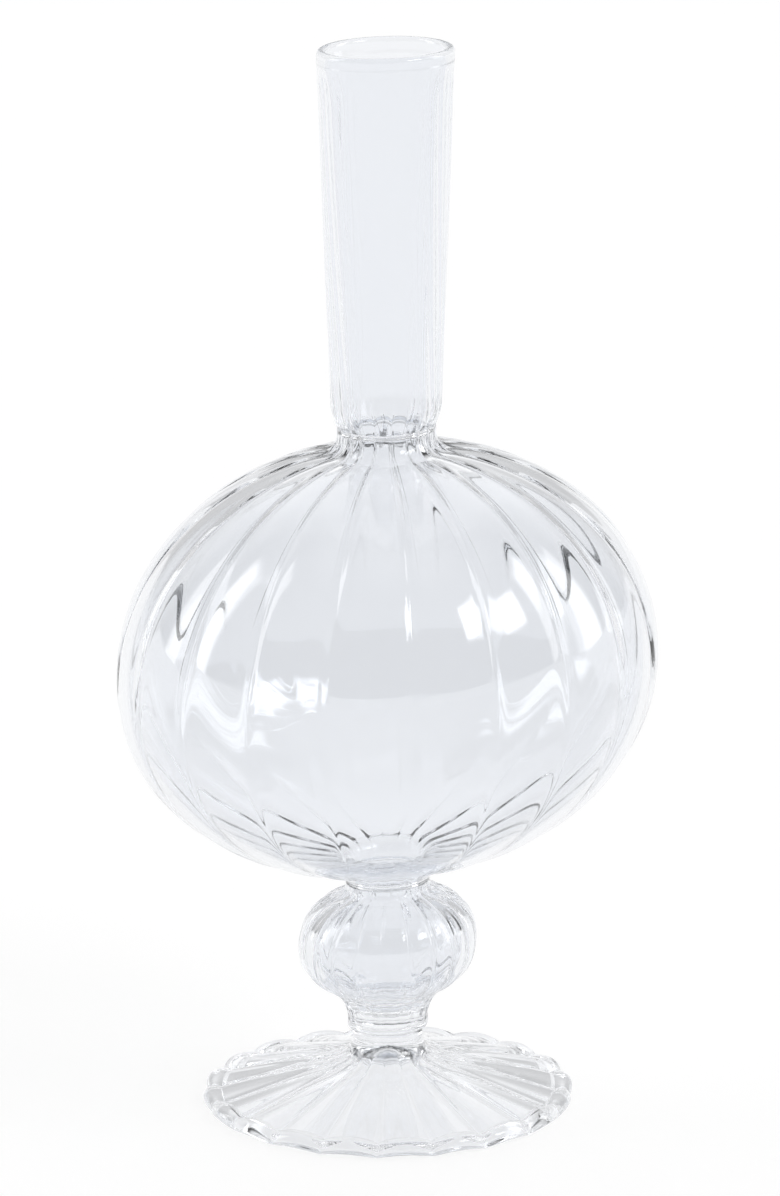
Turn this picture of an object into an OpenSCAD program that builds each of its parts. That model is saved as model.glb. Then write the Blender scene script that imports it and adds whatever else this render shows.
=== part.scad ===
// Ribbed glass bud vase: a long twisted neck on a pumpkin-shaped globe, carried by a fluted knop on a flared foot.
// Every piece is a gather of clear glass, and the pieces are welded end to end on one upright axis.

/* [Lip and neck] */
// Height from the table to the top of the lip
total_h = 230; // [215:1:250]
// Outside radius of the lip bead
lip_r = 14.5; // [13.5:0.1:16]
// Height of the lip bead
lip_h = 3.5; // [3:0.1:5]
// Outside radius at the foot of the neck, above its waist
neck_base_r = 11.8; // [11.2:0.1:12.6]
// Outside radius of the waist between neck and globe
neck_waist_r = 10.5; // [10:0.1:11]
// Height over which the neck draws in to its waist
neck_draw_h = 5; // [4:0.5:12]
// Turn of the ribs from the waist to the lip, in degrees
neck_twist = 21; // [0:1:40]
// Wall thickness of the neck
neck_wall = 1.9; // [1.6:0.1:2.2]

/* [Globe] */
// Outside radius of the globe
globe_r = 57.6; // [50:0.1:62]
// Height of the globe's oval above its widest level
globe_up = 48.2; // [42:0.1:52]
// Depth of the globe's oval below its widest level
globe_down = 44.2; // [38:0.1:50]
// Fullness of the globe's outline, where 2 is a plain ellipse
globe_full = 2.08; // [1.9:0.01:2.3]
// Wall thickness of the globe
globe_wall = 2.4; // [2:0.1:3]

/* [Knop] */
// Outside radius of the hollow knop
knop_r = 19.2; // [18:0.1:22]
// Height of the knop's oval above its widest level
knop_up = 13; // [12:0.1:14]
// Depth of the knop's oval below its widest level
knop_down = 12.4; // [12:0.1:14]
// Fullness of the knop's outline, where 2 is a plain ellipse
knop_full = 2.27; // [2:0.01:2.4]
// Outside radius of the waist between globe and knop
knop_waist_r = 9; // [8.8:0.1:9.8]
// Wall thickness of the knop
knop_wall = 2.2; // [2:0.1:2.4]

/* [Stem and foot] */
// Height of the solid ring between knop and foot
stem_h = 2; // [1.8:0.1:4]
// Radius of the stem under the knop
stem_r = 8.6; // [8.2:0.1:8.8]
// Outside radius of the foot, over the scallops of its rim
foot_r = 40; // [38:0.1:46]
// Height of the foot's crown
foot_h = 16.9; // [15:0.1:19]
// Radius of the foot's crown, where the stem ring stands on it
crown_r = 7.4; // [7:0.1:8]
// Height of the upright collar under the crown
collar_h = 1.4; // [1:0.1:2]
// Radius of the bend from the collar into the flare
collar_bend = 5; // [4:0.1:6]
// Thickness of the foot's flared skin
foot_wall = 2.3; // [2:0.1:2.6]
// Width of the thick bead around the foot
rim_w = 4; // [3.5:0.1:5]
// Height of that bead
rim_h = 3.4; // [3:0.1:4]
// Depth of the scallops around the rim
rim_wave = 1.2; // [0.8:0.1:1.6]

/* [Ribs] */
// Number of ribs around the vase
ribs = 20; // [16:1:22]
// Depth of the creases at the widest part of the globe
rib_depth = 0.8; // [0.4:0.1:1.2]
// Depth of the folds at the edge of the foot
fold_depth = 1.2; // [0.5:0.1:1.3]

/* [Hidden] */

$fn = 96;
glass = [0.86, 0.89, 0.93, 0.4];
thick_glass = [0.78, 0.82, 0.87, 0.6];

rib_steps = 4;       // points from one crease to the next
front = -90;         // azimuth that the front of the vase faces
body_crease = 5.5;   // first crease of the globe, from the front
foot_crease = -3.7;  // first crease of the knop and foot, from the front
seal_h = 1.5;        // height of each weld ring
seal_in = 1;         // how far the weld ring of the neck stands into the hollow
bite = 1;            // how far a cutter runs past the face that it opens

neck_top_r = lip_r - 0.1;
lip_wall = 2.1;
mouth_r = lip_r - lip_wall;

// Radii at which the ovals turn into their throats
globe_top_meet = neck_waist_r + 3;
globe_bottom_meet = knop_waist_r + 3;
knop_top_meet = knop_waist_r + 1.1;
knop_bottom_meet = stem_r + 4.4;

// The stack of pieces, worked out from the table upwards
knop_base_z = foot_h + stem_h;
knop_z = knop_base_z + throat_rise([knop_r, knop_down, knop_full], knop_bottom_meet, stem_r);
knop_top_z = knop_z + throat_rise([knop_r, knop_up, knop_full], knop_top_meet, knop_waist_r);
globe_base_z = knop_top_z + seal_h;
globe_z = globe_base_z
    + throat_rise([globe_r, globe_down, globe_full], globe_bottom_meet, knop_waist_r);
globe_top_z = globe_z + throat_rise([globe_r, globe_up, globe_full], globe_top_meet, neck_waist_r);
neck_z = globe_top_z + seal_h;
lip_z = total_h - lip_h;

foot_edge_r = foot_r - rim_w;
foot_edge_z = rim_h - 0.3;

// ---- Curves, as lists of [radius, height] ----

// Points on an arc about a centre
function arc(centre, r, from, to, steps) =
    [for (i = [0 : steps]) centre + r * polar(from + (to - from) * i / steps)];

function polar(angle) = [cos(angle), sin(angle)];

// An oval is [radius, half-height, fullness]. This is its height where its radius is r.
function oval_height(oval, r) = oval[1] * pow(1 - pow(r / oval[0], oval[2]), 1 / oval[2]);

// Its outward direction there
function oval_normal(oval, r) =
    let (
        f = oval[2] - 1,
        n = [pow(r / oval[0], f) / oval[0], pow(oval_height(oval, r) / oval[1], f) / oval[1]]
    )
    n / norm(n);

// Radius of the hollow curve that leads from the oval, at radius meet, to an upright waist
function throat_bend(oval, meet, waist) = (meet - waist) / (1 - oval_normal(oval, meet).x);

// Height of that waist above the oval's widest level
function throat_rise(oval, meet, waist) =
    oval_height(oval, meet) + throat_bend(oval, meet, waist) * oval_normal(oval, meet).y;

// Half a bubble, from its widest level up: the oval, then the hollow curve to the waist
function half_bubble(oval, meet, waist, oval_steps, throat_steps) =
    let (
        last = acos(pow(meet / oval[0], oval[2] / 2)),
        n = oval_normal(oval, meet),
        bend = throat_bend(oval, meet, waist)
    )
    concat(
        [
            for (i = [0 : oval_steps - 1])
                let (t = last * i / oval_steps, p = 2 / oval[2])
                [oval[0] * pow(cos(t), p), oval[1] * pow(sin(t), p)]
        ],
        arc([meet, oval_height(oval, meet)] + bend * n, bend, 180 + atan2(n.y, n.x), 180, throat_steps)
    );

// A whole bubble about height z, from its lower waist to its upper one
function bubble(z, lower, upper) =
    concat(
        [for (i = [len(lower) - 1 : -1 : 1]) [lower[i].x, z - lower[i].y]],
        [for (p = upper) [p.x, z + p.y]]
    );

// ---- Ribs ----

// How deep in a crease an azimuth is: 1 in the crease, 0 on the crown of the rib
function crease(azimuth, first) = 1 - abs(sin(ribs / 2 * (azimuth - first)));

// The crease depth that a rib keeps as the piece gets narrower
function rib_at(r) = rib_depth * sqrt(r / globe_r);

// Turn of the neck's ribs at a height: quick above the waist, slower towards the lip
function neck_turn(z) =
    let (u = max(0, (z - neck_z - neck_draw_h) / (lip_z - neck_z - neck_draw_h)))
    -neck_twist * (1 - pow(1 - u, 1.6));

// Closed solid through stations [radius, height, crease depth, fold depth, turn], from the bottom up
module ribbed_solid(stations, first) {
    n = ribs * rib_steps;
    last = len(stations) - 1;
    points = [
        for (s = stations, i = [0 : n - 1])
            let (
                azimuth = front + first + 360 * i / n,
                deep = crease(azimuth, front + first),
                at = (s[0] - s[2] * deep) * polar(azimuth + s[4])
            )
            [at.x, at.y, s[1] - s[3] * deep]
    ];
    sides = [
        for (j = [0 : last - 1], i = [0 : n - 1])
            let (a = j * n + i, b = j * n + (i + 1) % n)
            each [[a, a + n, b + n], [a, b + n, b]]
    ];
    bottom = [for (i = [0 : n - 1]) i];
    top = [for (i = [n - 1 : -1 : 0]) last * n + i];
    polyhedron(points, concat([bottom], sides, [top]), convexity = 6);
}

// Stations for a piece whose ribs run straight up
function straight_ribs(profile) = [for (p = profile) [p.x, p.y, rib_at(p.x), 0, 0]];

// Solid of revolution under a profile, run on past both of its ends
module hollow(profile) {
    last = len(profile) - 1;
    below = profile[0].y - bite;
    above = profile[last].y + bite;
    rotate_extrude()
        polygon(concat(
            [[0, below], [profile[0].x, below]],
            profile,
            [[profile[last].x, above], [0, above]]
        ));
}

// ---- Pieces ----

// Fire-polished bead around the mouth, with an upright inner land
module lip() {
    round_r = lip_wall / 2;
    top_z = total_h - round_r;
    color(thick_glass)
        rotate_extrude()
            polygon(concat(
                [[mouth_r, lip_z], [lip_r, lip_z]],
                arc([lip_r - round_r, top_z], round_r, 0, 180, 10)
            ));
}

// Outside radius of the neck at a height
function neck_r(z) =
    z < neck_z + neck_draw_h
        ? neck_waist_r + (neck_base_r - neck_waist_r) * sin(90 * (z - neck_z) / neck_draw_h)
        : neck_base_r + (neck_top_r - neck_base_r)
            * (z - neck_z - neck_draw_h) / (lip_z - neck_z - neck_draw_h);

// Long tube, drawn in at its waist, with ribs that turn as they climb
module neck() {
    draw_steps = 4;
    tube_steps = 10;
    tube_z = neck_z + neck_draw_h;
    levels = concat(
        [for (i = [0 : draw_steps - 1]) neck_z + neck_draw_h * i / draw_steps],
        [for (i = [0 : tube_steps]) tube_z + (lip_z - tube_z) * i / tube_steps]
    );
    color(glass)
        difference() {
            ribbed_solid(
                [for (z = levels) [neck_r(z), z, z < lip_z ? rib_at(neck_r(z)) : 0.1, 0, neck_turn(z)]],
                body_crease
            );
            hollow([for (z = levels) [neck_r(z) - neck_wall, z]]);
        }
}

// Weld ring that stands into the hollow with a round inner edge
module seal(base_z, outer_r, inner_r) {
    round_r = seal_h / 2;
    color(thick_glass)
        rotate_extrude()
            polygon(concat(
                [[outer_r, base_z], [outer_r, base_z + seal_h]],
                arc([inner_r + round_r, base_z + round_r], round_r, 90, 270, 8)
            ));
}

// Weld between globe and neck
module neck_seal() {
    seal(globe_top_z, neck_waist_r, neck_waist_r - neck_wall - seal_in);
}

// Weld between knop and globe
module globe_seal() {
    seal(knop_top_z, knop_waist_r, knop_waist_r - knop_wall - seal_in / 2);
}

// Flattened globe of even ribs, open at the neck and at the knop
module globe() {
    inner_top = neck_waist_r - neck_wall;
    inner_bottom = knop_waist_r - knop_wall;
    inner_r = globe_r - globe_wall;
    color(glass)
        difference() {
            ribbed_solid(
                straight_ribs(bubble(
                    globe_z,
                    half_bubble([globe_r, globe_down, globe_full], globe_bottom_meet, knop_waist_r, 7, 3),
                    half_bubble([globe_r, globe_up, globe_full], globe_top_meet, neck_waist_r, 7, 3)
                )),
                body_crease
            );
            hollow(bubble(
                globe_z,
                half_bubble([inner_r, globe_down - globe_wall, globe_full], globe_bottom_meet, inner_bottom, 12, 4),
                half_bubble([inner_r, globe_up - globe_wall, globe_full], globe_top_meet, inner_top, 12, 4)
            ));
            translate([0, 0, globe_z]) cylinder(r = inner_top, h = globe_top_z - globe_z + bite);
            translate([0, 0, globe_base_z - bite]) cylinder(r = inner_bottom, h = globe_down);
        }
}

// Small fluted bubble that opens into the globe above and runs down into the stem below
module knop() {
    inner_r = knop_r - knop_wall;
    inner_waist = knop_waist_r - knop_wall;
    inner_stem = stem_r - knop_wall;
    inner_meet = knop_bottom_meet - 1.5;
    color(glass)
        difference() {
            ribbed_solid(
                straight_ribs(bubble(
                    knop_z,
                    half_bubble([knop_r, knop_down, knop_full], knop_bottom_meet, stem_r, 4, 3),
                    half_bubble([knop_r, knop_up, knop_full], knop_top_meet, knop_waist_r, 5, 3)
                )),
                foot_crease
            );
            hollow(bubble(
                knop_z,
                half_bubble([inner_r, knop_down - knop_wall, knop_full], inner_meet, inner_stem, 7, 4),
                half_bubble([inner_r, knop_up - knop_wall, knop_full], knop_top_meet, inner_waist, 8, 3)
            ));
            translate([0, 0, knop_z]) cylinder(r = inner_waist, h = knop_top_z - knop_z + bite);
            translate([0, 0, knop_base_z - bite]) cylinder(r = inner_stem, h = knop_down);
        }
}

// Solid disc of glass that closes the knop's stem and stands on the foot, rounded in underneath
module stem_ring() {
    bead_r = stem_h / 2;
    color(thick_glass)
        rotate_extrude()
            polygon(concat(
                [[0, foot_h], [crown_r, foot_h]],
                arc([stem_r + 0.2 - bead_r, foot_h + bead_r], bead_r, -75, 0, 6),
                [[stem_r, foot_h + stem_h], [0, foot_h + stem_h]]
            ));
}

// Skin of the foot: an upright collar, a bend, then a straight flare out to the rim
module foot() {
    bend_centre = [crown_r + collar_bend, foot_h - collar_h];
    reach = [foot_edge_r, foot_edge_z] - bend_centre;
    fall = atan2(-reach.y, reach.x) - asin(collar_bend / norm(reach));
    bend_end = bend_centre + collar_bend * polar(270 - fall);
    outer_r = foot_edge_r + bite;
    flare_steps = 6;
    flare = [
        for (i = [0 : flare_steps])
            let (r = outer_r + (bend_end.x - outer_r) * i / flare_steps)
            [r, bend_end.y - (r - bend_end.x) * tan(fall)]
    ];
    collar = arc(bend_centre, collar_bend, 270 - fall - 14, 180, 4);
    skin = concat(flare, collar, [[crown_r, foot_h]]);
    under_z = bend_end.y - foot_wall;
    dome_rise = [1.6, 3];
    color(glass)
        difference() {
            intersection() {
                ribbed_solid(
                    concat(
                        [[outer_r, -bite, 0, 0, 0]],
                        [for (p = skin) [p.x, p.y, rib_at(p.x) / 2, fold_depth * p.x / foot_r, 0]]
                    ),
                    foot_crease
                );
                cylinder(r = foot_edge_r, h = foot_h);
            }
            rotate_extrude()
                polygon([
                    [0, -bite],
                    [outer_r, -bite],
                    [outer_r, under_z - (outer_r - bend_end.x) * tan(fall)],
                    [bend_end.x, under_z],
                    [crown_r, under_z + dome_rise[0]],
                    [0, under_z + dome_rise[1]]
                ]);
        }
}

// Thick bead around the foot, scalloped rib by rib, with a flat land that rests on the table
module foot_rim() {
    crease_r = foot_r - rim_wave;
    lobe_d = (foot_r * foot_r - crease_r * crease_r) / (2 * (foot_r - crease_r * cos(180 / ribs)));
    land_round = 1;
    top_round = 1.9;
    top_inner = 0.8;
    color(thick_glass)
        intersection() {
            rotate_extrude()
                polygon(concat(
                    arc([foot_edge_r + land_round, land_round], land_round, 180, 270, 3),
                    arc([foot_r - land_round, land_round], land_round, 270, 360, 4),
                    arc([foot_r - top_round, rim_h - top_round], top_round, 0, 90, 6),
                    arc([foot_edge_r + top_inner, rim_h - top_inner], top_inner, 90, 180, 3)
                ));
            linear_extrude(height = rim_h)
                union() {
                    circle(r = lobe_d);
                    for (i = [0 : ribs - 1])
                        rotate(front + foot_crease + (i + 0.5) * 360 / ribs)
                            translate([lobe_d, 0])
                                circle(r = foot_r - lobe_d);
                }
        }
}

lip();
neck();
neck_seal();
globe();
globe_seal();
knop();
stem_ring();
foot();
foot_rim();
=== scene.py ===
import bpy
import math
import numpy as np
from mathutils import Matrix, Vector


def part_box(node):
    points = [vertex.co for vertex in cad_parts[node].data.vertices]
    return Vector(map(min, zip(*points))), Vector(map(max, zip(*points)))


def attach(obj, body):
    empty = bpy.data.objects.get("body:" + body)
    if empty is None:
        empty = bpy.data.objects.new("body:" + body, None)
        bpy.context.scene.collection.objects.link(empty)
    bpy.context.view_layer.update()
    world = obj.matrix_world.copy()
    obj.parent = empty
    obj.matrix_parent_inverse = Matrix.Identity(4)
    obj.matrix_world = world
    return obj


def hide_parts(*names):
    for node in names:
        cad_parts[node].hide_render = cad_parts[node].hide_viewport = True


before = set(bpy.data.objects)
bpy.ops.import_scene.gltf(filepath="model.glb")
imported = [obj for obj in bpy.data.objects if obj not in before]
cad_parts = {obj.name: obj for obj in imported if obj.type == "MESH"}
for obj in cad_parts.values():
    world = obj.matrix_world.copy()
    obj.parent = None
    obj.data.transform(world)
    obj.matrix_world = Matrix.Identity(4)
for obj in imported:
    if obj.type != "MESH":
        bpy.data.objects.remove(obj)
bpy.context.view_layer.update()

mm = 0.001
nearly = 0.01  # mm within which two levels count as one
front = math.radians(-90)  # azimuth that the front of the vase faces
print("frame loaded:", len(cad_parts), "glass pieces to make")


class Wire:
    # one socket, which adds its own Math nodes
    def __init__(self, tree, socket):
        self.tree = tree
        self.socket = socket

    def math(self, kind, *others, swap=False):
        node = self.tree.nodes.new("ShaderNodeMath")
        node.operation = kind
        values = [self, *others]
        if swap:
            values.reverse()
        for socket, value in zip(node.inputs, values):
            plug(self.tree, socket, value)
        return Wire(self.tree, node.outputs[0])

    def __add__(self, other):
        return self.math("ADD", other)

    def __radd__(self, other):
        return self.math("ADD", other, swap=True)

    def __sub__(self, other):
        return self.math("SUBTRACT", other)

    def __rsub__(self, other):
        return self.math("SUBTRACT", other, swap=True)

    def __mul__(self, other):
        return self.math("MULTIPLY", other)

    def __rmul__(self, other):
        return self.math("MULTIPLY", other, swap=True)

    def __truediv__(self, other):
        return self.math("DIVIDE", other)

    def __rtruediv__(self, other):
        return self.math("DIVIDE", other, swap=True)

    def __pow__(self, other):
        return self.math("POWER", other)


def plug(tree, socket, value):
    # a link for a Wire, a plain value for anything else
    if isinstance(value, Wire):
        tree.links.new(value.socket, socket)
    else:
        socket.default_value = value


def makeNode(tree, kind, settings=None, sockets=None, out=0):
    node = tree.nodes.new(kind)
    for name, value in (settings or {}).items():
        setattr(node, name, value)
    for name, value in (sockets or {}).items():
        plug(tree, node.inputs[name], value)
    return Wire(tree, node.outputs[out])


def splitXYZ(tree, vector):
    parts = makeNode(tree, "ShaderNodeSeparateXYZ", sockets={0: vector}).socket.node
    return [Wire(tree, socket) for socket in parts.outputs]


def place(name, data):
    thing = bpy.data.objects.new(name, data)
    bpy.context.scene.collection.objects.link(thing)
    return thing


view = {
    "place": (0.0004, -1.361, 0.468),
    "pitch": 14.66,   # degrees that the camera looks down
    "focal": 199.9,
    "sensor": 36,
    "clip": (0.05, 60),
}

camData = bpy.data.cameras.new("studioCamera")
camData.lens = view["focal"]
camData.sensor_width = view["sensor"]
camData.clip_start, camData.clip_end = view["clip"]
camera = place("studioCamera", camData)
camera.rotation_euler = (math.radians(90 - view["pitch"]), 0, 0)
camera.location = view["place"]
bpy.context.scene.camera = camera
print("camera set")

ribs = {
    "count": 20,
    "pointsPerRib": 24,
    "gather": 0.8,          # how far the points crowd towards each crease
    "softness": 0.16,       # rounding of the crease line
    "creaseDepth": 0.55,    # of the wide hollow between two ribs, at the globe's widest level
    "grooveDepth": 0.62,    # of the narrow groove along its bottom
    "grooveWidth": 0.18,
    "depthVariation": 0.45,
    "depthScale": 2.6,
    "depthClimb": 6,        # how fast the depth changes up the piece
    "innerShare": 0.9,      # how much of the wide hollow the inside of the wall follows
    "ripple": 0.05,
    "outerRipple": 0.4,     # how much of the ripple the outer face has
    "rippleScale": 55,
    "rippleStretch": 0.3,
    "wander": 0.06,
    "wanderScale": 1.7,
    "wanderClimb": 12,
    "widestR": 57.6,
    "seed": 3.0,
}


def blownWallTree():
    # a profile turned round the axis, with creases pressed into it
    tree = bpy.data.node_groups.new("blownWall", "GeometryNodeTree")
    face = tree.interface
    face.new_socket(name="Geometry", in_out="OUTPUT", socket_type="NodeSocketGeometry")
    face.new_socket(name="Profile", in_out="INPUT", socket_type="NodeSocketGeometry")
    for name, kind in (
        ("Profile points", "NodeSocketInt"),
        ("Rib count", "NodeSocketInt"),
        ("Points per rib", "NodeSocketInt"),
        ("First crease", "NodeSocketFloat"),
        ("Crowding", "NodeSocketFloat"),
        ("Softness", "NodeSocketFloat"),
        ("Groove width", "NodeSocketFloat"),
        ("Depth variation", "NodeSocketFloat"),
        ("Ripple scale", "NodeSocketFloat"),
        ("Ripple stretch", "NodeSocketFloat"),
        ("Wander", "NodeSocketFloat"),
        ("Seed", "NodeSocketFloat"),
        ("Glass", "NodeSocketMaterial"),
        ("Weld glass", "NodeSocketMaterial"),
    ):
        face.new_socket(name=name, in_out="INPUT", socket_type=kind)
    entry = tree.nodes.new("NodeGroupInput")
    given = {socket.name: Wire(tree, socket) for socket in entry.outputs if socket.name}

    def make(kind, settings=None, sockets=None, out=0):
        return makeNode(tree, kind, settings, sockets, out)

    def vector(x, y, z):
        return make("ShaderNodeCombineXYZ", sockets={0: x, 1: y, 2: z})

    def noise(spot, seed, scale):
        found = make("ShaderNodeTexNoise", {"noise_dimensions": "4D"},
                     {"Vector": spot, "W": seed, "Scale": scale, "Detail": 1.0})
        return (found - 0.5) * 2

    grid = make("GeometryNodeMeshGrid", sockets={
        "Size X": 1.0, "Size Y": 1.0,
        "Vertices X": given["Rib count"] * given["Points per rib"] + 1,
        "Vertices Y": given["Profile points"]})
    index = make("GeometryNodeInputIndex")
    column = (index / given["Profile points"]).math("FLOOR")
    row = index - column * given["Profile points"]

    def sampled(kind, value):
        return make("GeometryNodeSampleIndex", {"data_type": kind, "domain": "POINT"},
                    {"Geometry": given["Profile"], "Value": value, "Index": row})

    def profileValue(kind, name):
        return sampled(kind, make("GeometryNodeInputNamedAttribute", {"data_type": kind}, {"Name": name}))

    radius, _, height = splitXYZ(tree, sampled("FLOAT_VECTOR", make("GeometryNodeInputPosition")))
    creaseIn, _, creaseDown = splitXYZ(tree, profileValue("FLOAT_VECTOR", "crease"))
    grooveIn, _, grooveDown = splitXYZ(tree, profileValue("FLOAT_VECTOR", "groove"))
    rippleOut, _, rippleUp = splitXYZ(tree, profileValue("FLOAT_VECTOR", "ripple"))
    turn = profileValue("FLOAT", "turn")

    # how deep in a crease each column lies
    rib = (column / given["Points per rib"]).math("FLOOR")
    step = (column / given["Points per rib"]).math("FRACT")
    share = rib + step - given["Crowding"] * (step * math.tau).math("SINE") / math.tau
    inRib = (share * math.pi).math("SINE")
    hollow = 1 - (inRib ** 2 + given["Softness"] ** 2).math("SQRT")
    narrow = 1 / (1 + (inRib / given["Groove width"]) ** 2)

    # hand work: creases wander and vary in depth
    azimuth = share * math.tau / given["Rib count"] + given["First crease"] + turn
    around = (azimuth.math("COSINE"), azimuth.math("SINE"))
    spot = vector(*around, height * ribs["wanderClimb"])
    azimuth = azimuth + noise(spot, given["Seed"], ribs["wanderScale"]) * given["Wander"] / 2
    around = (azimuth.math("COSINE"), azimuth.math("SINE"))
    spot = vector(*around, height * ribs["depthClimb"])
    depth = 1 + given["Depth variation"] * noise(spot, given["Seed"] + 5, ribs["depthScale"])
    out = radius - (creaseIn * hollow + grooveIn * narrow) * depth
    up = height - (creaseDown * hollow + grooveDown * narrow) * depth
    spot = vector(out * around[0], out * around[1], up * given["Ripple stretch"])
    ripple = noise(spot, given["Seed"] + 9, given["Ripple scale"])
    out = out + rippleOut * ripple
    up = up + rippleUp * ripple

    placed = make("GeometryNodeSetPosition",
                  sockets={"Geometry": grid, "Position": vector(out * around[0], out * around[1], up)})
    marked = make("GeometryNodeStoreNamedAttribute", {"data_type": "FLOAT", "domain": "POINT"},
                  {"Geometry": placed, "Name": "weld", "Value": profileValue("FLOAT", "weld")})
    closed = make("GeometryNodeMergeByDistance", sockets={"Geometry": marked, "Distance": 1e-6})
    smooth = make("GeometryNodeSetShadeSmooth", sockets={"Geometry": closed, "Shade Smooth": True})
    # the fused faces keep a sharp edge, so that the walls beside them shade on evenly
    weld = make("GeometryNodeInputNamedAttribute", {"data_type": "FLOAT"}, {"Name": "weld"})
    welded = weld.math("GREATER_THAN", 0.99)
    edged = make("GeometryNodeSetShadeSmooth", {"domain": "EDGE"},
                 {"Geometry": smooth, "Selection": welded, "Shade Smooth": False})
    real = make("GeometryNodeRealizeInstances", sockets={"Geometry": edged})
    clear = make("GeometryNodeSetMaterial", sockets={"Geometry": real, "Material": given["Glass"]})
    done = make("GeometryNodeSetMaterial", sockets={
        "Geometry": clear, "Selection": welded, "Material": given["Weld glass"]})
    end = tree.nodes.new("NodeGroupOutput")
    plug(tree, end.inputs[0], done)
    return tree


wallTree = blownWallTree()
identifiers = {item.name: item.identifier for item in wallTree.interface.items_tree if item.in_out == "INPUT"}

# hand-made lean: how far the right side stands up, in degrees, at each height in mm
handLean = {
    "heights": [0, 6, 17, 36, 50, 97, 149, 190, 230],
    "tilts": [0.25, 0.8, 1.6, 3.0, 3.2, 3.6, 2.6, 1.9, 1.7],
    "sideways": -0.0024,
}


def leanByHand(mesh):
    co = np.empty(len(mesh.vertices) * 3, np.float32)
    mesh.vertices.foreach_get("co", co)
    co = co.reshape(-1, 3)
    tilt = np.radians(np.interp(co[:, 2] / mm, handLean["heights"], handLean["tilts"]))
    lifted = co[:, 2] + co[:, 0] * np.tan(tilt)
    co[:, 0] += handLean["sideways"] * co[:, 2]
    co[:, 2] = np.maximum(lifted, 0)
    mesh.vertices.foreach_set("co", co.ravel())
    mesh.update()


def normals(points):
    # pointing away from the axis, for points that climb
    r, z = np.array(points, float).T
    along = np.stack([np.gradient(r), np.gradient(z)], 1)
    along /= np.linalg.norm(along, axis=1)[:, None]
    return np.stack([along[:, 1], -along[:, 0]], 1)


def ribShare(r):
    # how much of its depth a crease keeps as the piece gets narrower
    return math.sqrt(max(r, 0) / ribs["widestR"])


def outline(points, crease=0.0, groove=0.0, ripple=1.0, turn=0.0, weld=(), way=None):
    # one record for each profile point; crease, groove and ripple are in mm along the way given
    points = [tuple(p) for p in points]
    many = len(points)
    way = normals(points) if way is None else np.broadcast_to(np.array(way, float), (many, 2))

    def spread(value):
        return np.broadcast_to(np.array(value, float), many)

    crease, groove, ripple, turn = (spread(v) for v in (crease, groove, ripple, turn))
    welded = np.zeros(many)
    welded[list(weld)] = 1

    def along(k, size):
        return (size * way[k][0] * mm, 0, size * way[k][1] * mm)

    return [{"place": (r * mm, 0, z * mm),
             "crease": along(k, crease[k]),
             "groove": along(k, groove[k]),
             "ripple": along(k, ripple[k] * ribs["ripple"]),
             "turn": turn[k], "weld": welded[k]}
            for k, (r, z) in enumerate(points)]


def blowPiece(name, node, rows, glass, own):
    # a piece's own values take the place of the shared ones
    cut = {**ribs, **own}
    base = bpy.data.meshes.new(name + "Profile")
    base.from_pydata([row["place"] for row in rows], [], [])
    for label in ("crease", "groove", "ripple"):
        attribute = base.attributes.new(label, "FLOAT_VECTOR", "POINT")
        attribute.data.foreach_set("vector", np.array([row[label] for row in rows], np.float32).ravel())
    for label in ("turn", "weld"):
        attribute = base.attributes.new(label, "FLOAT", "POINT")
        attribute.data.foreach_set("value", np.array([row[label] for row in rows], np.float32))
    holder = place(name + "Profile", base)
    turned = holder.modifiers.new("blownWall", "NODES")
    turned.node_group = wallTree
    values = {
        "Profile points": len(rows),
        "Rib count": cut["count"],
        "Points per rib": cut["pointsPerRib"],
        "First crease": front + math.radians(cut["crease"]),
        "Crowding": cut["gather"],
        "Softness": cut["softness"],
        "Groove width": cut["grooveWidth"],
        "Depth variation": cut["depthVariation"],
        "Ripple scale": cut["rippleScale"],
        "Ripple stretch": cut["rippleStretch"],
        "Wander": cut["wander"],
        "Seed": cut["seed"],
        "Glass": glass,
        "Weld glass": weldGlass,
    }
    for label, value in values.items():
        turned[identifiers[label]] = value
    dg = bpy.context.evaluated_depsgraph_get()
    mesh = bpy.data.meshes.new_from_object(holder.evaluated_get(dg), depsgraph=dg)
    bpy.data.objects.remove(holder)
    leanByHand(mesh)
    mesh.name = name
    piece = place(name, mesh)
    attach(piece, "root")
    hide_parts(node)
    print(name, "made:", len(mesh.polygons), "faces")


def arcPoints(centre, radius, start, stop, steps):
    return [(centre[0] + radius * math.cos(math.radians(a)), centre[1] + radius * math.sin(math.radians(a)))
            for a in np.linspace(start, stop, steps + 1)]


def ovalHeight(oval, r):
    return oval[1] * (1 - (r / oval[0]) ** oval[2]) ** (1 / oval[2])


def ovalNormal(oval, r):
    f = oval[2] - 1
    n = np.array([(r / oval[0]) ** f / oval[0], (ovalHeight(oval, r) / oval[1]) ** f / oval[1]])
    return n / np.linalg.norm(n)


def halfBubble(oval, meet, waist, ovalSteps, throatSteps):
    # from the widest level up: the oval, then the hollow curve to the waist
    n = ovalNormal(oval, meet)
    bend = (meet - waist) / (1 - n[0])
    last = math.acos((meet / oval[0]) ** (oval[2] / 2))
    p = 2 / oval[2]
    points = [(oval[0] * math.cos(t) ** p, oval[1] * math.sin(t) ** p)
              for t in np.linspace(0, last, ovalSteps, endpoint=False)]
    centre = (meet + bend * n[0], ovalHeight(oval, meet) + bend * n[1])
    return points + arcPoints(centre, bend, 180 + math.degrees(math.atan2(n[1], n[0])), 180, throatSteps)


def bubble(z, lower, upper):
    return [(r, z - h) for r, h in reversed(lower[1:])] + [(r, z + h) for r, h in upper]


def levelEnds(points, bottom, top):
    # both ends sit exactly on the faces that the next pieces are welded to
    points[0] = (points[0][0], bottom)
    points[-1] = (points[-1][0], top)
    return points


def insideOf(points, wall):
    # the inner face of a wall of even thickness
    return [(r - wall * n[0], z - wall * n[1]) for (r, z), n in zip(points, normals(points))]


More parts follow.
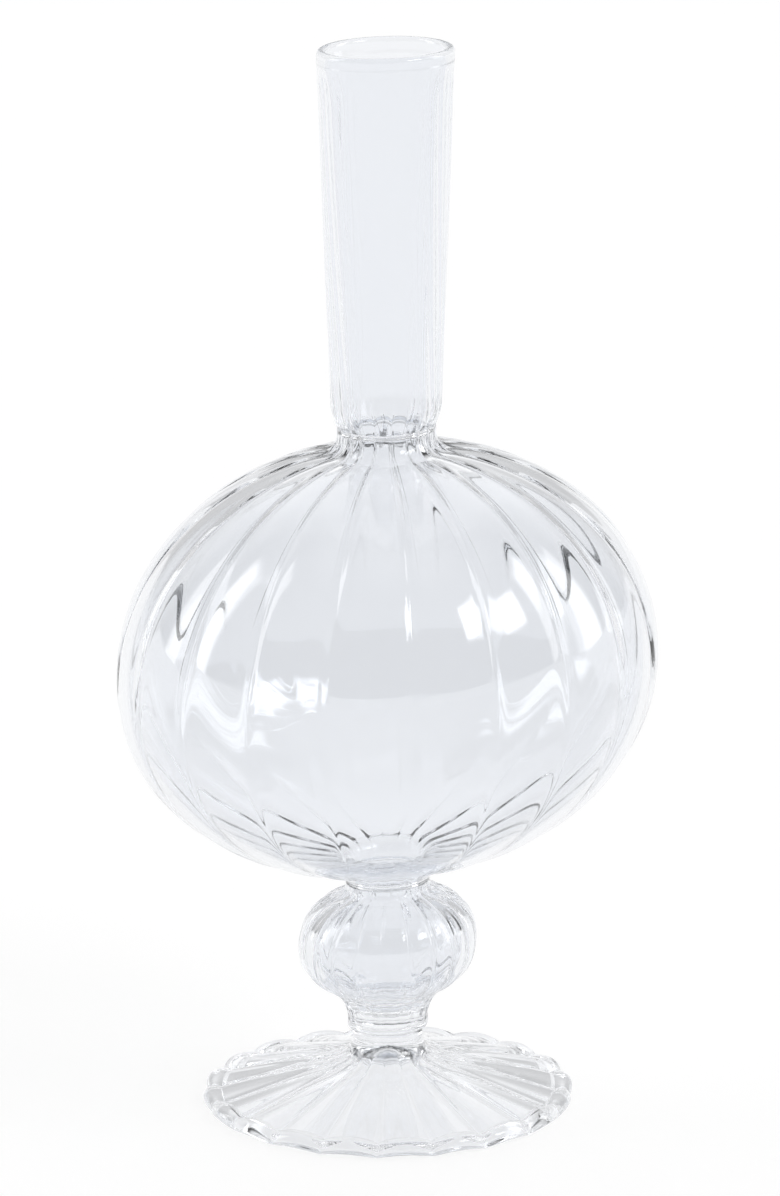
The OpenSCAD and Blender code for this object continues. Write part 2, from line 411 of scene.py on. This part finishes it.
def heights(node):
    low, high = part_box(node)
    return low.z / mm, high.z / mm


glassLook = {
    "tint": (0.895, 0.909, 0.934, 1),
    "streak": (0.925, 0.937, 0.958, 1),
    "ior": 1.5,
}
# faces where two pieces have fused: light goes straight through them
weldLook = {
    "tint": (0.99, 0.99, 0.99, 1),
    "streak": (1, 1, 1, 1),
    "ior": 1.0,
}
cloudShape = {"scale": 30.0, "detail": 3.0, "stretch": (1, 1, 0.3)}


def glassMaterial(name, look, seed):
    material = bpy.data.materials.new(name)
    material.use_nodes = True
    tree = material.node_tree
    tree.nodes.clear()

    def make(kind, settings=None, sockets=None, out=0):
        return makeNode(tree, kind, settings, sockets, out)

    spot = make("ShaderNodeMapping", None, {
        "Vector": make("ShaderNodeTexCoord", out=3), "Scale": cloudShape["stretch"]})
    cloud = make("ShaderNodeTexNoise", {"noise_dimensions": "4D"}, {
        "Vector": spot, "W": seed, "Scale": cloudShape["scale"], "Detail": cloudShape["detail"]})
    tint = make("ShaderNodeMix", {"data_type": "RGBA"}, {"Factor": cloud}, 2)
    tint.socket.node.inputs[6].default_value = look["tint"]
    tint.socket.node.inputs[7].default_value = look["streak"]
    glass = make("ShaderNodeBsdfPrincipled", None, {
        "Base Color": tint, "Roughness": 0.0, "IOR": look["ior"], "Transmission Weight": 1.0})
    end = tree.nodes.new("ShaderNodeOutputMaterial")
    plug(tree, end.inputs[0], glass)
    return material


wallGlass = glassMaterial("clearWallGlass", glassLook, 2.0)
beadGlass = glassMaterial("clearBeadGlass", glassLook, 7.0)
weldGlass = glassMaterial("fusedGlass", weldLook, 4.0)
print("glass mixed")

globe = {
    "r": 57.6, "up": 48.2, "down": 44.2, "full": 2.08, "z": 97.3,
    "topMeet": 13.5, "topWaist": 10.5, "bottomMeet": 12.0, "bottomWaist": 9.0,
    "wall": 1.7, "crease": 5.5, "plainFrom": 3.0, "grooveFade": (-5, 12),
    "lowSteps": (40, 10), "highSteps": (44, 10),
}


def wallRows(outer, inner, creases, grooves, turns=0.0):
    # the outer face going up, then the inner face coming down, closed at both ends
    ends = (0, -1)
    rows = outline(outer, creases, grooves, ribs["outerRipple"], turns, ends)
    rows += outline(inner, np.array(creases) * ribs["innerShare"], 0.0, 1.0, turns, ends)[::-1]
    return rows + rows[:1]


def makeGlobe(g):
    bottom, top = heights("globe")
    outer = levelEnds(bubble(
        g["z"],
        halfBubble((g["r"], g["down"], g["full"]), g["bottomMeet"], g["bottomWaist"], *g["lowSteps"]),
        halfBubble((g["r"], g["up"], g["full"]), g["topMeet"], g["topWaist"], *g["highSteps"]),
    ), bottom, top)
    inner = levelEnds(insideOf(outer, g["wall"]), bottom, top)
    # the ribs run out into the plain ring of glass at the bottom
    fade = [min(1, (z - bottom) / g["plainFrom"]) for r, z in outer]
    creases = [ribs["creaseDepth"] * ribShare(r) * f for (r, z), f in zip(outer, fade)]
    # the grooves are sharp on the shoulder and polished out below the widest level
    sharp = np.interp([z for r, z in outer], [g["z"] + level for level in g["grooveFade"]], [0, 1])
    grooves = [ribs["grooveDepth"] * ribShare(r) * f * k for (r, z), f, k in zip(outer, fade, sharp)]
    blowPiece("globeBubble", "globe", wallRows(outer, inner, creases, grooves), wallGlass, g)


makeGlobe(globe)

neck = {
    "waistR": 10.5, "baseR": 11.8, "topR": 14.4, "draw": 5.0, "twist": 21.0, "twistEase": 1.6,
    "wall": 1.7, "plainFrom": 6.0, "drawSteps": 14, "tubeSteps": 120,
    "crease": 5.5, "pointsPerRib": 16, "gather": 0.35, "softness": 0.2, "grooveWidth": 0.4, "wander": 0.0,
    "depthVariation": 0.2,
}


def neckTurn(z, z0, z1, n):
    u = min(1, max(0, (z - z0 - n["draw"]) / (z1 - z0 - n["draw"])))
    return -math.radians(n["twist"]) * (1 - (1 - u) ** n["twistEase"])


def makeNeck(n):
    z0, z1 = heights("neck")
    tubeZ = z0 + n["draw"]

    def outerR(z):
        if z < tubeZ:
            return n["waistR"] + (n["baseR"] - n["waistR"]) * math.sin(math.pi / 2 * (z - z0) / n["draw"])
        return n["baseR"] + (n["topR"] - n["baseR"]) * (z - tubeZ) / (z1 - tubeZ)

    levels = [*np.linspace(z0, tubeZ, n["drawSteps"], endpoint=False),
              *np.linspace(tubeZ, z1, n["tubeSteps"])]
    outer = [(outerR(z), z) for z in levels]
    inner = [(outerR(z) - n["wall"], z) for z in levels]
    fade = [min(1, (z1 - z) / n["plainFrom"]) for z in levels]
    creases = [ribs["creaseDepth"] * ribShare(r) * f for (r, z), f in zip(outer, fade)]
    # the narrow grooves of the globe's shoulder run out where the tube begins
    grooves = [ribs["grooveDepth"] * ribShare(r) * np.interp(z, [z0, tubeZ], [1, 0]) for r, z in outer]
    turns = [neckTurn(z, z0, z1, n) for z in levels]
    blowPiece("neckTube", "neck", wallRows(outer, inner, creases, grooves, turns), wallGlass, n)


makeNeck(neck)

lip = {"r": 14.5, "round": 1.05, "roundSteps": 24, "outerStep": 1.0, "innerStep": 0.6}


def makeLip(l):
    bottom, top = heights("lip")
    neckIn = neck["topR"] - neck["wall"]
    ring = arcPoints((l["r"] - l["round"], top - l["round"]), l["round"], 0, 180, l["roundSteps"])
    points = [(neck["topR"], bottom), (l["r"], bottom + l["outerStep"])]
    points += ring + [(neckIn, bottom + l["innerStep"]), (neckIn, bottom)]
    ripples = np.linspace(ribs["outerRipple"], 1.0, len(points))
    rows = outline(points, 0, 0, ripples, neckTurn(bottom, *heights("neck"), neck), (0, -1), (1, 0))
    blowPiece("lipBead", "lip", rows + rows[:1], beadGlass, neck)


makeLip(lip)

sealShape = {"steps": 15, "rippleGain": 3}
seals = {
    "neckWeld": {"node": "neck_seal", "r": 10.5, "wall": 1.7, "bulge": 0.6, "ribbed": True},
    "globeWeld": {"node": "globe_seal", "r": 9.0, "wall": 1.7, "bulge": 0.6, "ribbed": False},
}


def makeSeal(name, s):
    bottom, top = heights(s["node"])
    levels = np.linspace(bottom, top, sealShape["steps"])
    swell = [s["bulge"] * math.sin(math.pi * (z - bottom) / (top - bottom)) ** 2 for z in levels]
    outer = [(s["r"], z) for z in levels]
    inner = [(s["r"] - s["wall"] - b, z) for z, b in zip(levels, swell)]
    share = ribShare(s["r"]) if s["ribbed"] else 0
    rows = outline(outer, ribs["creaseDepth"] * share, ribs["grooveDepth"] * share,
                   ribs["outerRipple"], 0, (0, -1), (1, 0))
    rows += outline(inner, ribs["creaseDepth"] * share * ribs["innerShare"], 0,
                    [1 + sealShape["rippleGain"] * b for b in swell], 0, (0, -1), (1, 0))[::-1]
    blowPiece(name, s["node"], rows + rows[:1], beadGlass, globe)


for name, seal in seals.items():
    makeSeal(name, seal)

knop = {
    "r": 19.2, "up": 13.0, "down": 12.4, "full": 2.27, "z": 36.0,
    "topMeet": 10.1, "topWaist": 9.0, "bottomMeet": 13.0, "bottomWaist": 8.6,
    "wall": 1.7, "crease": -3.7, "plainFrom": 2.0, "floorZ": 20.6, "floorRound": 4.5,
    "floorSteps": 14, "floorGap": 0.1,
    "pointsPerRib": 18, "gather": 0.5, "grooveFade": (-3, 4), "plainR": 5,
    "lowSteps": (26, 14), "highSteps": (26, 12),
}


def makeKnop(k):
    bottom, top = heights("knop")
    outer = levelEnds(bubble(
        k["z"],
        halfBubble((k["r"], k["down"], k["full"]), k["bottomMeet"], k["bottomWaist"], *k["lowSteps"]),
        halfBubble((k["r"], k["up"], k["full"]), k["topMeet"], k["topWaist"], *k["highSteps"]),
    ), bottom, top)
    inner = levelEnds(insideOf(outer, k["wall"]), bottom, top)
    # the hollow ends in a rounded floor inside the stem
    stemIn = k["bottomWaist"] - k["wall"]
    well = [(stemIn * math.sin(a), k["floorZ"] + k["floorRound"] * (1 - math.cos(a)))
            for a in np.linspace(0, math.pi / 2, k["floorSteps"])]
    inner = well + [(r, z) for r, z in inner if z > well[-1][1] + k["floorGap"]]

    def held(r, z):
        return ribShare(r) * min(1, max(0, (top - z) / k["plainFrom"])) * min(1, r / k["plainR"])

    def depths(points, depth):
        return [depth * held(r, z) for r, z in points]

    # the grooves are polished out below the widest level
    sharp = np.interp([z for r, z in outer], [k["z"] + level for level in k["grooveFade"]], [0, 1])
    grooves = np.array(depths(outer, ribs["grooveDepth"])) * sharp
    base = [(0, bottom), (k["bottomWaist"] / 2, bottom)]
    rows = outline(base, 0, 0, 0, 0, (0, 1), (0, 0))
    rows += outline(outer, depths(outer, ribs["creaseDepth"]), grooves, ribs["outerRipple"], 0, (0, -1))
    rows += outline(inner, depths(inner, ribs["creaseDepth"] * ribs["innerShare"]), 0,
                    [min(1, r / k["plainR"]) for r, z in inner], 0, (-1,))[::-1]
    blowPiece("knopBubble", "knop", rows, wallGlass, k)


makeKnop(knop)

stem = {"crownR": 7.4, "bead": 0.9, "beadOut": 0.1, "bellyArc": (-70, 50, 14), "bellyRipple": 1.5}


def makeStem(s):
    bottom, top = heights("stem_ring")
    outR = knop["bottomWaist"]
    middle = (bottom + top) / 2
    belly = arcPoints((outR - s["bead"] + s["beadOut"], middle), s["bead"], *s["bellyArc"])
    points = [(0, bottom), (s["crownR"] / 2, bottom), (s["crownR"], bottom)] + belly
    points += [(outR, top), (outR / 2, top), (0, top)]
    last = len(points)
    ripple = [0.0] * 3 + [s["bellyRipple"]] * len(belly) + [ribs["outerRipple"], 0.0, 0.0]
    rows = outline(points, 0, 0, ripple, 0, (0, 1, 2, last - 3, last - 2, last - 1), (1, 0))
    blowPiece("stemRing", "stem_ring", rows, beadGlass, knop)


makeStem(stem)

foot = {
    "r": 40.0, "h": 16.9, "crownR": 7.4, "collar": 1.4, "bend": 5.0, "wall": 2.3, "edgeR": 36.0, "edgeZ": 3.9,
    "fold": 0.85, "groove": 0.5, "underGroove": 0.1, "domeRise": 1.6, "domeR": 14.0, "crease": -3.7,
    "plainFrom": 4, "plainR": 6, "topRipple": 0.7, "skinSteps": 40, "collarSteps": 18, "underSteps": 44,
}


def makeFoot(f):
    centre = (f["crownR"] + f["bend"], f["h"] - f["collar"])
    reachR, reachZ = f["edgeR"] - centre[0], f["edgeZ"] - centre[1]
    reach = math.hypot(reachR, reachZ)
    fall = math.degrees(math.atan2(-reachZ, reachR)) - math.degrees(math.asin(f["bend"] / reach))
    endR = centre[0] + f["bend"] * math.cos(math.radians(270 - fall))
    endZ = centre[1] + f["bend"] * math.sin(math.radians(270 - fall))
    slope = math.tan(math.radians(fall))

    flare = [(r, endZ - (r - endR) * slope)
             for r in np.linspace(f["edgeR"], endR, f["skinSteps"], endpoint=False)]
    collar = arcPoints(centre, f["bend"], 270 - fall, 180, f["collarSteps"])
    skin = flare + collar + [(f["crownR"], f["h"])]
    crown = [(f["crownR"] / 2, f["h"]), (0, f["h"])]

    def domeAt(r):
        return f["domeRise"] * math.cos(math.pi / 2 * min(1, r / f["domeR"])) ** 2

    under = [(r, endZ - f["wall"] - (r - endR) * slope + domeAt(r))
             for r in np.linspace(0, f["edgeR"], f["underSteps"])]

    def folds(points, depth):
        return [depth * min(1, r / f["edgeR"]) * min(1, max(0, (r - f["crownR"]) / f["plainFrom"]))
                for r, z in points]

    rows = outline(under, folds(under, f["fold"]), folds(under, f["underGroove"]),
                   [min(1, r / f["plainR"]) for r, z in under], 0, (-1,), (0, 1))
    rows += outline(skin, folds(skin, f["fold"]), folds(skin, f["groove"]),
                    f["topRipple"], 0, (0, -1), (0, 1))
    rows += outline(crown, 0, 0, 0, 0, (0, 1), (0, 1))
    blowPiece("footSkirt", "foot", rows, wallGlass, f)


makeFoot(foot)

rim = {
    "r": 40.0, "wave": 0.95, "topRound": 1.9, "lowRound": 1.2, "lift": 0.8, "crown": 0.1,
    "grooveOut": 0.6, "roundSteps": (10, 12),
    "lowInside": ((0.15, 0.35), (0.5, 0.08)),   # steps out and up from the inner edge
    "topInside": ((1.2, 0), (0.5, -0.02)),
}


def makeRim(b):
    inner, outer = foot["edgeR"], b["r"]
    topZ = foot["edgeZ"] + b["crown"]
    lowZ = b["lift"]
    under = foot["edgeZ"] - foot["wall"]
    lowSteps, topSteps = b["roundSteps"]
    points = [(inner, under)] + [(inner + out, lowZ + up) for out, up in b["lowInside"]]
    points += arcPoints((outer - b["lowRound"], lowZ + b["lowRound"]), b["lowRound"], 270, 360, lowSteps)
    points += arcPoints((outer - b["topRound"], topZ - b["topRound"]), b["topRound"], 0, 90, topSteps)
    points += [(inner + out, topZ + up) for out, up in b["topInside"]] + [(inner, foot["edgeZ"])]
    last = len(points) - 1
    rows = outline(points, 0, 0, 1, 0, (0, last))
    for row, (r, z) in zip(rows, points):
        out = (r - inner) / (outer - inner)
        high = min(1, max(0, (z - lowZ) / (topZ - lowZ)))
        row["crease"] = (b["wave"] * out * mm, 0, foot["fold"] * mm * (1 - out) + b["lift"] * mm * out)
        grooved = foot["groove"] * high if z > under + nearly else foot["underGroove"]
        row["groove"] = (grooved * b["grooveOut"] * out * mm, 0, grooved * (1 - out) * mm)
    blowPiece("footBead", "foot_rim", rows + rows[:1], beadGlass, foot)


makeRim(rim)

paperLook = {"reach": 20, "below": -0.0001, "albedo": 0.2, "glow": 0.87}


def layPaper(look):
    side, down = look["reach"], look["below"]
    mesh = bpy.data.meshes.new("floor")
    mesh.from_pydata([(-side, -side, down), (side, -side, down), (side, side, down), (-side, side, down)],
                     [], [(0, 1, 2, 3)])
    floor = place("floor", mesh)
    paper = bpy.data.materials.new("floorPaper")
    paper.use_nodes = True
    shade = paper.node_tree.nodes["Principled BSDF"]
    shade.inputs["Base Color"].default_value = (look["albedo"], look["albedo"], look["albedo"], 1)
    shade.inputs["Roughness"].default_value = 1.0
    shade.inputs["Specular IOR Level"].default_value = 0.0
    shade.inputs["Emission Color"].default_value = (1, 1, 1, 1)
    shade.inputs["Emission Strength"].default_value = look["glow"]
    mesh.materials.append(paper)


layPaper(paperLook)

# azimuths run from 0 behind the camera, + to the right; all angles are in degrees
softboxes = {
    "rightFront": {"azimuth": (43, 70), "height": (31, 49), "edge": 2.5, "glow": 7},
    "rightSide": {"azimuth": (87, 110), "height": (2, 50), "edge": 3, "glow": 3.1},
    "leftSide": {"azimuth": (-110, -91), "height": (2, 50), "edge": 3, "glow": 3.1},
    "overhead": {"azimuth": (145, 215), "height": (30, 65), "edge": 10, "glow": 0.5},
}
room = {
    "floorLine": 5.0, "floorEdge": 0.5, "floorGlow": 1.0, "dark": 0.05,
    "backdropFrom": 128, "backdropEdge": 8, "backdrop": 0.42, "paleBelow": (34, 56), "pale": 0.18,
    "ceilingFrom": (58, 80), "ceiling": 0.32,
}


def lightStudio(boxes, r):
    # a dark room with a pale backdrop behind the vase, and softboxes round it
    world = bpy.data.worlds.new("studio")
    bpy.context.scene.world = world
    world.use_nodes = True
    tree = world.node_tree
    tree.nodes.clear()
    x, y, z = splitXYZ(tree, makeNode(tree, "ShaderNodeTexCoord"))

    def ease(value, start, stop):
        return makeNode(tree, "ShaderNodeMapRange", {"interpolation_type": "SMOOTHSTEP"},
                        {"Value": value, "From Min": start, "From Max": stop, "To Min": 0.0, "To Max": 1.0})

    azimuth = x.math("ARCTAN2", -1 * y) * (180 / math.pi)
    height = z.math("ARCSINE") * (180 / math.pi)
    edge = r["backdropEdge"]
    behind = ease(azimuth.math("ABSOLUTE"), r["backdropFrom"] - edge, r["backdropFrom"] + edge)
    pale = (1 - ease(height, *r["paleBelow"])) * r["pale"]
    glow = r["dark"] + behind * (r["backdrop"] + pale) + ease(height, *r["ceilingFrom"]) * r["ceiling"]
    for box in boxes.values():
        left, right = box["azimuth"]
        low, high = box["height"]
        edge = box["edge"]
        across = azimuth
        if right > 180:
            across = azimuth + 360 * azimuth.math("LESS_THAN", 0.0)
        inside = ease(across, left - edge, left + edge) * (1 - ease(across, right - edge, right + edge))
        inside = inside * ease(height, low - edge, low + edge) * (1 - ease(height, high - edge, high + edge))
        glow = glow + inside * box["glow"]
    below = 1 - ease(height, r["floorLine"] - r["floorEdge"], r["floorLine"] + r["floorEdge"])
    glow = glow + below * (r["floorGlow"] - glow)
    back = makeNode(tree, "ShaderNodeBackground", sockets={0: (1, 1, 1, 1), 1: glow})
    end = tree.nodes.new("ShaderNodeOutputWorld")
    plug(tree, end.inputs[0], back)


lightStudio(softboxes, room)
print("floor and lights set")

scene = bpy.context.scene
scene.view_settings.view_transform = "Standard"
# light guided inside the wall turns back and forth many times
lightBounces = 48
scene.cycles.max_bounces = lightBounces
scene.cycles.transmission_bounces = lightBounces
scene.cycles.glossy_bounces = lightBounces
